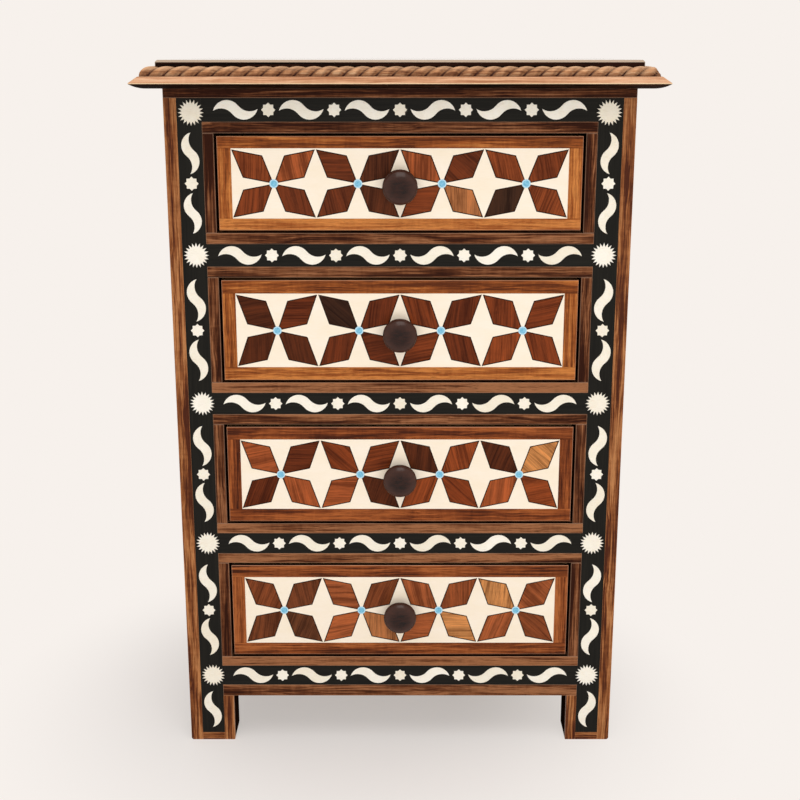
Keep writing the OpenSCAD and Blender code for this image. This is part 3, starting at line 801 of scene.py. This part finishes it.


# The pale walnut is painted paler on the top of the rope, a painted highlight. It is painted
# darker in the carved grooves, as painted shade and old dirt, and on the shaded side of each
# strand and along the foot, as painted shade.
rope_walnut = walnut("rope_walnut", (124, 74, 42), (200, 140, 95), (236, 190, 146), contrast=0.8,
                     pores=0.25)
tree = rope_walnut.node_tree
surface = tree.nodes["Principled BSDF"]
plain = surface.inputs["Base Color"].links[0].from_socket
worn_and_lit = rescaled(stored(tree, "crown"), 0.5, 1.0, last=0.6)
plain = blend(worn_and_lit, plain, paint(246, 200, 158))
shade_and_dirt = rescaled(stored(tree, "groove"), 0.1, 0.85)
fit(surface, {"Base Color": blend(shade_and_dirt, plain, paint(50, 17, 6))})
carver = rope_carver()
front_length = 2 * (half_case + rope_middle_out)
side_length = rear_y - front_y + rope_middle_out
side_x = half_case + rope_middle_out
side_y = rear_y - side_length / 2
quarter = pi / 2
work = bmesh.new()
for i, (length, start_mitre, end_mitre, x, y, turn) in enumerate((
    (front_length, 1.0, 1.0, 0.0, front_y - rope_middle_out, 0.0),
    (side_length, 1.0, 0.0, side_x, side_y, quarter),
    (side_length, 0.0, 1.0, -side_x, side_y, -quarter),
)):
    rod = made_by(carver, bpy.data.meshes.new("rod"), f"rope_{i}", {
        "Length": length, "Radius": rope_radius, "Inner reach": rope_inner_reach,
        "Strand pitch": strand_pitch, "Strand twist": strand_twist,
        "Groove depth": groove_depth, "Start mitre": start_mitre, "End mitre": end_mitre,
        "Steps along": round(length / strand_pitch * steps_a_strand),
        "Steps round": steps_round, "Finish": rope_walnut,
    })
    rod.data.transform(Matrix.Translation((x, y, rope_low.z)) @ Matrix.Rotation(turn, 4, "Z"))
    work.from_mesh(rod.data)
    bpy.data.objects.remove(rod)
face_outwards(work)
store_grain(work, 61, 0.3)
stand_in(to_object(work, "carved_rope", rope_walnut, 60), "carcass", "light_walnut",
         "rope_moulding")


# Top slab. A dark polished walnut board with eased edges is glued on the case top behind the
# rope. Its arris is painted pale, a painted highlight.

slab_walnut = walnut(
    "slab_walnut", (6, 2, 1), (18, 7, 4), (46, 22, 13), shine=0.5, gloss=0.04,
    worn_and_lit=paint(196, 174, 152), rub_and_sheen=0.92)
slab_top_walnut = walnut("slab_top_walnut", (8, 3, 1), (24, 9, 5), (58, 30, 18), shine=0.3,
                         coat=1.0)
fit(slab_top_walnut.node_tree.nodes["Principled BSDF"], {"Coat Roughness": 0.04})


def polished_above(work):
    """The top face takes the polish, and the bevel round it takes the painted highlight."""
    wear = work.faces.layers.float.new("wear")
    for face in work.faces:
        if face.normal.z > 0.9:
            face.material_index = 1
        elif face.normal.z > 0.4:
            face[wear] = 1.0


piece = planed("top_slab", "polished_top", "carcass", "dark_walnut", slab_walnut, 71,
               ease=0.0004, shaped=polished_above)
piece.data.materials.append(slab_top_walnut)


# Screws. Steel screws pull the top board down from inside the case. Each is made of bright wire,
# with a flat round head, a small socket in it and a thread cut along the shank.

screw_radius = 0.002
thread_radius = 0.82 * screw_radius
point_radius = 0.6 * screw_radius
thread_turn = 0.0014
head_radius = 0.004
head_tall = 0.003
head_ease = 0.0006
point_tall = 0.0002
socket_radius = 0.0012
socket_mouth = 0.0016
socket_depth = 0.0009


def turned(profile, steps, place, work):
    """Turns a profile of radius and height round an axis; both its ends lie on the axis."""
    turns = [2 * pi * i / steps for i in range(steps)]
    rings = [
        [work.verts.new(place @ Vector((radius * cos(a), radius * sin(a), height)))
         for a in (turns if radius else turns[:1])]
        for radius, height in profile
    ]
    for first, second in zip(rings, rings[1:]):
        for i in range(steps):
            j = (i + 1) % steps
            corners = [first[i % len(first)], first[j % len(first)],
                       second[j % len(second)], second[i % len(second)]]
            work.faces.new(list(dict.fromkeys(corners)))


def screw_profile(length):
    """From the head's outer face to the point; the length is that below the head."""
    points = [
        (0.0, socket_depth - head_tall), (socket_radius, socket_depth - head_tall),
        (socket_mouth, -head_tall), (head_radius - head_ease, -head_tall),
        (head_radius, head_ease - head_tall), (head_radius, -head_ease / 2),
        (head_radius - head_ease / 2, 0.0), (screw_radius, 0.0),
    ]
    turns = int(length / thread_turn)
    for i in range(turns):
        points.append((screw_radius if i % 2 else thread_radius, length * (i + 0.5) / turns))
    return points + [(point_radius, length - point_tall), (0.0, length)]


steel, tree, surface = new_finish("screw_steel_bright")
scuffs = grain_noise(own_place(tree), (900, 900, 900), 4.0, 0.7)
fit(surface, {
    "Base Color": colour_ramp(scuffs, (0.0, paint(118, 118, 120)),
                              (1.0, paint(196, 196, 198))),
    "Roughness": scaled(scuffs, 0.3, 0.2), "Metallic": 1.0,
})
screws_low, screws_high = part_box("top_screws")
seat = screws_low.z + head_tall
work = bmesh.new()
for middle, size in node_spots("top_screws"):
    place = Matrix.Translation((middle.x, middle.y, seat))
    turned(screw_profile(screws_high.z - seat), 20, place, work)
face_outwards(work)
stand_in(to_object(work, "top_screws_steel", steel), "carcass", "screw_steel", "top_screws")


# Drawers. Each is a box of planed softwood: a thick front board, two sides grooved for the thin
# bottom, and a back. It slides on the runners, and its front carries the marquetry.

drawer_wood = walnut(
    "drawer_wood", (146, 104, 62), (188, 142, 92), (214, 172, 122), shine=0.55,
    contrast=0.75, pores=0.25)
drawers = ["drawer_1", "drawer_2", "drawer_3", "drawer_4"]
for i, drawer in enumerate(drawers):
    for j, part in enumerate(("board", "sides", "back", "bottom")):
        planed(f"{drawer}_{part}", f"{drawer}_box_{part}", drawer, "box_wood", drawer_wood,
               100 + 10 * i + j, spread=0.4)


# Drawer frames. Four strips of orange walnut are glued round the edge of each front, the long
# ones over the full width and the short ones between them. The upper two drawers are paler.

frame_colours = [
    ((92, 42, 13), (152, 80, 32), (204, 128, 64)),
    ((92, 42, 13), (150, 79, 31), (200, 124, 60)),
    ((68, 28, 10), (124, 60, 25), (168, 92, 44)),
    ((68, 30, 12), (130, 65, 28), (172, 98, 50)),
]
frame_contrast = [0.75, 0.9, 0.95, 0.95]
frame_tones = [(-0.5, 1.0, 0.35), (-0.25, 0.7, 0.1), (-0.15, 0.5, 0.05), (0.1, 0.0, 0.9)]


def outer_arris(low, high):
    """The frame is sanded flush with the panel inside it, so only its outer edges are eased."""
    near = 0.0003

    def is_outer(edge):
        middle = (edge.verts[0].co + edge.verts[1].co) / 2
        at_side = min(middle.x - low.x, high.x - middle.x) < near
        at_end = min(middle.z - low.z, high.z - middle.z) < near
        return (at_side or at_end) and middle.y - low.y < near

    return is_outer


def strip_tones(front, upper, lower, upright):
    """How pale the upper, the lower and the two upright strips of one frame are."""
    def tone(low, high):
        if high.x - low.x < high.z - low.z:
            return upright
        return lower if low.z - front.z < 0.002 else upper
    return tone


for i, drawer in enumerate(drawers):
    frame_walnut = walnut(
        f"frame_walnut_{i + 1}", *frame_colours[i], contrast=frame_contrast[i], shine=0.36,
        coat=0.1, gloss=0.08, worn_and_lit=paint(214, 158, 124), rub_and_sheen=0.5)
    low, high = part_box(f"{drawer}_frame")
    shade_gap_faces(planed(
        f"{drawer}_frame", f"{drawer}_frame_strips", drawer, "light_walnut", frame_walnut,
        140 + i, ease=0.0006, spread=0.15, tones=strip_tones(low, *frame_tones[i]),
        only=outer_arris(low, high)))


# Cream panels. The field of each front is one smooth cream plate with pockets cut for the
# flowers, sanded flush with its frame and polished.

cream, tree, surface = new_finish("cream_plate")
place = own_place(tree)
cloud = grain_noise(place, (22, 60, 60), 3.0, 0.5)
fine = grain_noise(place, (160, 900, 900), 3.0, 0.6)
both = plus(cloud, times(fine, 0.5))
tint = colour_ramp(both, (0.45, paint(250, 238, 222)), (1.0, paint(246, 231, 207)))
fit(surface, {
    "Base Color": tint, "Roughness": scaled(cloud, 0.2, 0.28),
    "Specular IOR Level": 0.3, "Normal": bumps(fine, 0.15, 0.00005),
})
for i, drawer in enumerate(drawers):
    planed(f"{drawer}_panel", f"{drawer}_cream_panel", drawer, "cream_panel", cream, 150 + i,
           ease=0.0002, least=0.05)


# Flowers. Each flower is four rhombs of dark wood, sawn from different offcuts and set in the
# cream panel in black glue, which shows as a thin line round each of them.

flower_count = 4
tip_gap = 0.0004
rhomb_margin = 0.001
rhomb_steep = 0.26
rhomb_flat = 0.175
glue_line = 0.001
glue_drop = 0.00008
glue_ease = 0.00004
rhomb_proud = 0.00004
rhomb_ease = 0.00008
rhomb_lift = 0.0001
grain_turns = [0.0, 0.2, 1.2, 1.45, 1.57, 1.8, 2.4]
veneer_stains = {
    "umber": (52, 30, 19), "dark": (80, 38, 18), "brown": (96, 43, 19), "chestnut": (117, 54, 24),
    "russet": (132, 63, 29), "copper": (156, 80, 42), "tan": (168, 106, 63),
    "straw": (194, 131, 76),
}
flower_woods = [
    ["russet copper chestnut brown", "brown dark brown dark",
     "copper brown chestnut tan", "russet chestnut umber russet"],
    ["dark brown dark dark", "umber brown brown brown",
     "chestnut brown chestnut brown", "chestnut chestnut russet chestnut"],
    ["copper brown brown copper", "chestnut chestnut copper dark",
     "dark russet russet chestnut", "dark straw copper russet"],
    ["chestnut brown brown dark", "copper chestnut copper tan",
     "copper russet copper straw", "straw copper copper chestnut"],
]
veneer_fading = [0.02, 0.0, 0.0, 0.1]
faded_veneer = Vector(paint(160, 120, 84))


def flower_middles(low, high):
    """The middles of a panel's flowers, in X and Z."""
    half = (high.x - low.x) / 2
    return [Vector(((2 * k + 1) * half / flower_count - half, (high.z + low.z) / 2))
            for k in range(flower_count)]


def join_in(whole, part):
    """Adds a worked part to a whole."""
    mesh = bpy.data.meshes.new("part")
    part.to_mesh(mesh)
    part.free()
    whole.from_mesh(mesh)
    bpy.data.meshes.remove(mesh)


glue_black, tree, surface = new_finish("glue_black")
specks = grain_noise(own_place(tree), (1400, 1400, 1400), 3.0, 0.6)
fit(surface, {
    "Base Color": colour_ramp(specks, (0.0, paint(24, 10, 4)), (1.0, paint(44, 21, 10))),
    "Roughness": scaled(specks, 0.3, 0.45), "Specular IOR Level": 0.08,
})
veneer = walnut(
    "rhomb_veneer", (0.5, 0.44, 0.4, 1), (0.95, 0.93, 0.92, 1), (1.4, 1.3, 1.2, 1),
    contrast=0.9, figure=0.1, shine=0.34, gloss=0.06, pores=0.3, stained=True)
chance = random.Random(17)
for i, drawer in enumerate(drawers):
    low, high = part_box(f"{drawer}_panel")
    reach_x = (high.x - low.x) / 2 / flower_count - tip_gap
    reach_z = (high.z - low.z) / 2 - rhomb_margin
    corners = [
        Vector((0, 0)), Vector((rhomb_steep * reach_x, (1 - rhomb_flat) * reach_z)),
        Vector((reach_x, reach_z)), Vector(((1 - rhomb_steep) * reach_x, rhomb_flat * reach_z)),
    ]
    back_y = low.y + plate_depth
    beds = bmesh.new()
    plates = bmesh.new()
    grain = plates.verts.layers.float_vector.new("grain")
    tone = plates.verts.layers.float.new("tone")
    stain = plates.verts.layers.float_color.new("stain")
    for middle, woods in zip(flower_middles(low, high), flower_woods[i]):
        quarters = [(-1, 1), (1, 1), (-1, -1), (1, -1)]
        for (flip_x, flip_z), wood in zip(quarters, woods.split()):
            outline = [middle + Vector((flip_x * c.x, flip_z * c.y)) for c in corners]
            if flip_x * flip_z < 0:
                outline = outline[:1] + outline[:0:-1]
            join_in(beds, sawn_plate(outline, back_y, low.y + glue_drop, glue_ease))
            before = len(plates.verts)
            join_in(plates, sawn_plate(drawn_in(outline, glue_line), back_y - rhomb_lift,
                                       low.y - rhomb_proud, rhomb_ease))
            plates.verts.ensure_lookup_table()
            turn = Matrix.Rotation(chance.choice(grain_turns), 3, "Y")
            shift = Vector([chance.uniform(-9, 9) for _ in range(3)])
            shade = chance.uniform(-0.3, 0.3)
            colour = Vector(paint(*veneer_stains[wood])).lerp(faded_veneer, veneer_fading[i])
            for v in plates.verts[before:]:
                across = turn @ v.co
                v[grain] = Vector((across.x, across.z, across.y)) + shift
                v[tone] = shade
                v[stain] = colour
    stand_in(to_object(beds, f"{drawer}_glue_beds", glue_black), drawer, "black_wood",
             f"{drawer}_rhombs")
    stand_in(to_object(plates, f"{drawer}_rhomb_plates", veneer), drawer, "rhomb_wood",
             f"{drawer}_rhombs")


# Blue discs. A small disc of turquoise glaze with a paler rim covers the place where the four
# rhombs of a flower meet. It is glued into a round pocket and stands a hair proud.

disc_radius = 0.0043
disc_proud = 0.0001
disc_ease = 0.0001
paler_rim = 0.0012


def facing_front(x, y, z):
    """A place whose axis points to the front."""
    return Matrix.Translation((x, y, z)) @ Matrix.Rotation(pi / 2, 4, "X")


turquoise, tree, surface = new_finish("turquoise_disc")
cloud = grain_noise(own_place(tree), (500, 500, 500), 3.0, 0.6)
tint = colour_ramp(cloud, (0.35, paint(98, 176, 212)), (0.7, paint(138, 200, 226)))
fit(surface, {
    "Base Color": blend(stored(tree, "rim"), tint, paint(178, 218, 236)),
    "Roughness": scaled(cloud, 0.25, 0.15),
})
for drawer in drawers:
    low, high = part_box(f"{drawer}_panel")
    work = bmesh.new()
    rim = work.verts.layers.float.new("rim")
    top = plate_depth + disc_proud
    rim_start = disc_radius - paler_rim
    profile = [
        (0.0, 0.0), (disc_radius - disc_ease, 0.0), (disc_radius, disc_ease),
        (disc_radius, top - 0.8 * disc_ease), (disc_radius - disc_ease, top),
        (rim_start + 0.0001, top), (rim_start - 0.0001, top), (0.0, top),
    ]
    for middle in flower_middles(low, high):
        before = len(work.verts)
        turned(profile, 32, facing_front(middle.x, low.y + plate_depth, middle.y), work)
        work.verts.ensure_lookup_table()
        for v in work.verts[before:]:
            off = (Vector((v.co.x, v.co.z)) - middle).length
            v[rim] = 1.0 if off > rim_start else 0.0
    face_outwards(work)
    stand_in(to_object(work, f"{drawer}_blue_discs", turquoise), drawer, "turquoise",
             f"{drawer}_discs")


# Knobs. Each is turned from one piece of dark wood, with a small foot, a waist and a round head,
# and is polished on the lathe. Its head is painted paler towards the rim, a painted reflection. A
# screw through the drawer front holds it.

knob_foot = 0.008
knob_foot_tall = 0.0024
knob_waist = 0.006
knob_waist_end = 0.006
knob_ease = 0.0004
knob_head_start = 0.0072
knob_head_half = 0.009

knob_finish, tree, surface = new_finish("knob_dark_wood")
place = own_place(tree)
streaks = grain_noise(place, (160, 40, 420), 3.0, 0.5, 0.5)
rings = grain_noise(place, (60, 1200, 60), 2.0, 0.5)
tint = colour_ramp(streaks, (0.3, paint(22, 7, 3)), (0.75, paint(48, 21, 12)))
rim_reflection = rescaled(stored(tree, "rim"), 0.3, 0.85, last=0.3, kind="SMOOTHSTEP")
fit(surface, {
    "Base Color": blend(rim_reflection, tint, paint(96, 60, 48)),
    "Roughness": scaled(streaks, 0.12, 0.16),
    "Specular IOR Level": 0.26, "Normal": bumps(rings, 0.15, 0.00005),
})
for drawer in drawers:
    low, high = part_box(f"{drawer}_knob")
    knob_radius = (high.x - low.x) / 2
    head_middle = high.y - low.y - knob_head_half
    profile = [
        (0.0, 0.0), (knob_foot - knob_ease, 0.0), (knob_foot, knob_ease),
        (knob_foot, knob_foot_tall - 0.0006), (knob_foot - knob_ease, knob_foot_tall),
        (0.0068, 0.0027), (0.0062, 0.0034), (knob_waist, 0.0045), (knob_waist, knob_waist_end),
    ]
    start = asin(-(head_middle - knob_head_start) / knob_head_half)
    for step in range(20):
        a = start + (pi / 2 - start) * step / 20
        profile.append((max(0.0, knob_radius * cos(a)),
                        head_middle + knob_head_half * sin(a)))
    profile.append((0.0, head_middle + knob_head_half))
    place = facing_front((low.x + high.x) / 2, high.y, (low.z + high.z) / 2)
    work = bmesh.new()
    turned(profile, 56, place, work)
    face_outwards(work)
    rim = work.verts.layers.float.new("rim")
    middle = place.translation
    for vert in work.verts:
        vert[rim] = hypot(vert.co.x - middle.x, vert.co.z - middle.z) / knob_radius
    stand_in(to_object(work, f"{drawer}_turned_knob", knob_finish), drawer, "knob_wood",
             f"{drawer}_knob")
    low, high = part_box(f"{drawer}_knob_screw")
    work = bmesh.new()
    place = facing_front((low.x + high.x) / 2, high.y - head_tall, (low.z + high.z) / 2)
    turned(screw_profile(high.y - low.y - head_tall), 20, place, work)
    face_outwards(work)
    stand_in(to_object(work, f"{drawer}_screw_steel", steel), drawer, "screw_steel",
             f"{drawer}_knob_screw")


# Floor, light and camera. The nightstand stands on a plain pale floor in soft even light. A large
# lamp above and in front makes the shadow, and a low one lights the lower drawers. It is seen
# from the photograph's height and distance.

backdrop = paint(247, 241, 236)
floor_half = 14.0
shade_middle = (-0.05, -0.05, 0.0)
shade_start = 0.1
shade_end = 0.44
shade_depth = 0.46
camera_away = 1.4186
camera_height = 0.7199
camera_dip = 14.987


def seen_rays(tree):
    """One for rays from the camera and for those mirrored or let through, else nought."""
    ray = add_node(tree, "ShaderNodeLightPath").outputs
    seen = reckon("MAXIMUM", ray["Is Camera Ray"], ray["Is Glossy Ray"])
    return reckon("MAXIMUM", seen, ray["Is Transmission Ray"])


def mix_shaders(amount, first, second, output):
    tree = first.id_data
    mix = add_node(tree, "ShaderNodeMixShader", {"Fac": amount, 1: first, 2: second})
    fit(tree.nodes[output], {"Surface": mix.outputs["Shader"]})


pale_floor, tree, surface = new_finish("pale_floor")
fit(surface, {
    "Base Color": paint(228, 225, 225), "Roughness": 0.9, "Specular IOR Level": 0.0})
# For camera and mirrored rays the floor glows in the backdrop's colour, less near shade_middle: a
# painted glow that lightens the lamps' shadow and fades it out by shade_end.
glow = add_node(tree, "ShaderNodeEmission", {"Color": backdrop})
distance = add_node(tree, "ShaderNodeVectorMath", {0: own_place(tree), 1: shade_middle},
                    operation="DISTANCE").outputs["Value"]
far = rescaled(distance, shade_start, shade_end, first=shade_depth, kind="SMOOTHSTEP")
mix_shaders(times(far, seen_rays(tree)), surface.outputs["BSDF"],
            glow.outputs["Emission"], "Material Output")

floor_mesh = bpy.data.meshes.new("studio_floor")
floor_mesh.from_pydata(
    [(x * floor_half, y * floor_half, 0) for x, y in ((-1, -1), (1, -1), (1, 1), (-1, 1))], [],
    [(0, 1, 2, 3)])
floor_mesh.materials.append(pale_floor)
floor = in_scene("studio_floor", floor_mesh)
floor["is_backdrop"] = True

world = bpy.data.worlds.new("studio")
bpy.context.scene.world = world
world.use_nodes = True
tree = world.node_tree
air = tree.nodes["Background"]
fit(air, {"Color": (1.0, 0.985, 0.965, 1.0), "Strength": 0.62})
seen_air = add_node(tree, "ShaderNodeBackground", {"Color": backdrop})
mix_shaders(seen_rays(tree), air.outputs["Background"], seen_air.outputs["Background"],
            "World Output")

for name, place, aim, size, power, mirrored in (
    ("key_lamp", (0.1, -1.3, 2.7), (0, 0, 0.35), 1.6, 19.5, True),
    ("fill_lamp", (0.15, -1.5, 0.1), (0, 0, 0), 1.5, 11.8, False),
):
    lamp = bpy.data.lights.new(name, "AREA")
    lamp.shape = "SQUARE"
    lamp.size = size
    lamp.energy = power
    lamp.color = (1.0, 0.98, 0.95)
    holder = in_scene(name, lamp)
    holder.location = place
    holder.visible_glossy = mirrored
    way = Vector(aim) - Vector(place)
    holder.rotation_euler = way.to_track_quat("-Z", "Y").to_euler()

camera_data = bpy.data.cameras.new("camera")
camera_data.sensor_width = 36.0
camera_data.lens = 58.83
camera = in_scene("camera", camera_data)
camera.location = (0.0, -camera_away, camera_height)
camera.rotation_euler = (radians(90 - camera_dip), 0, 0)
bpy.context.scene.camera = camera
bpy.context.scene.view_settings.view_transform = "Standard"

low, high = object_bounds()
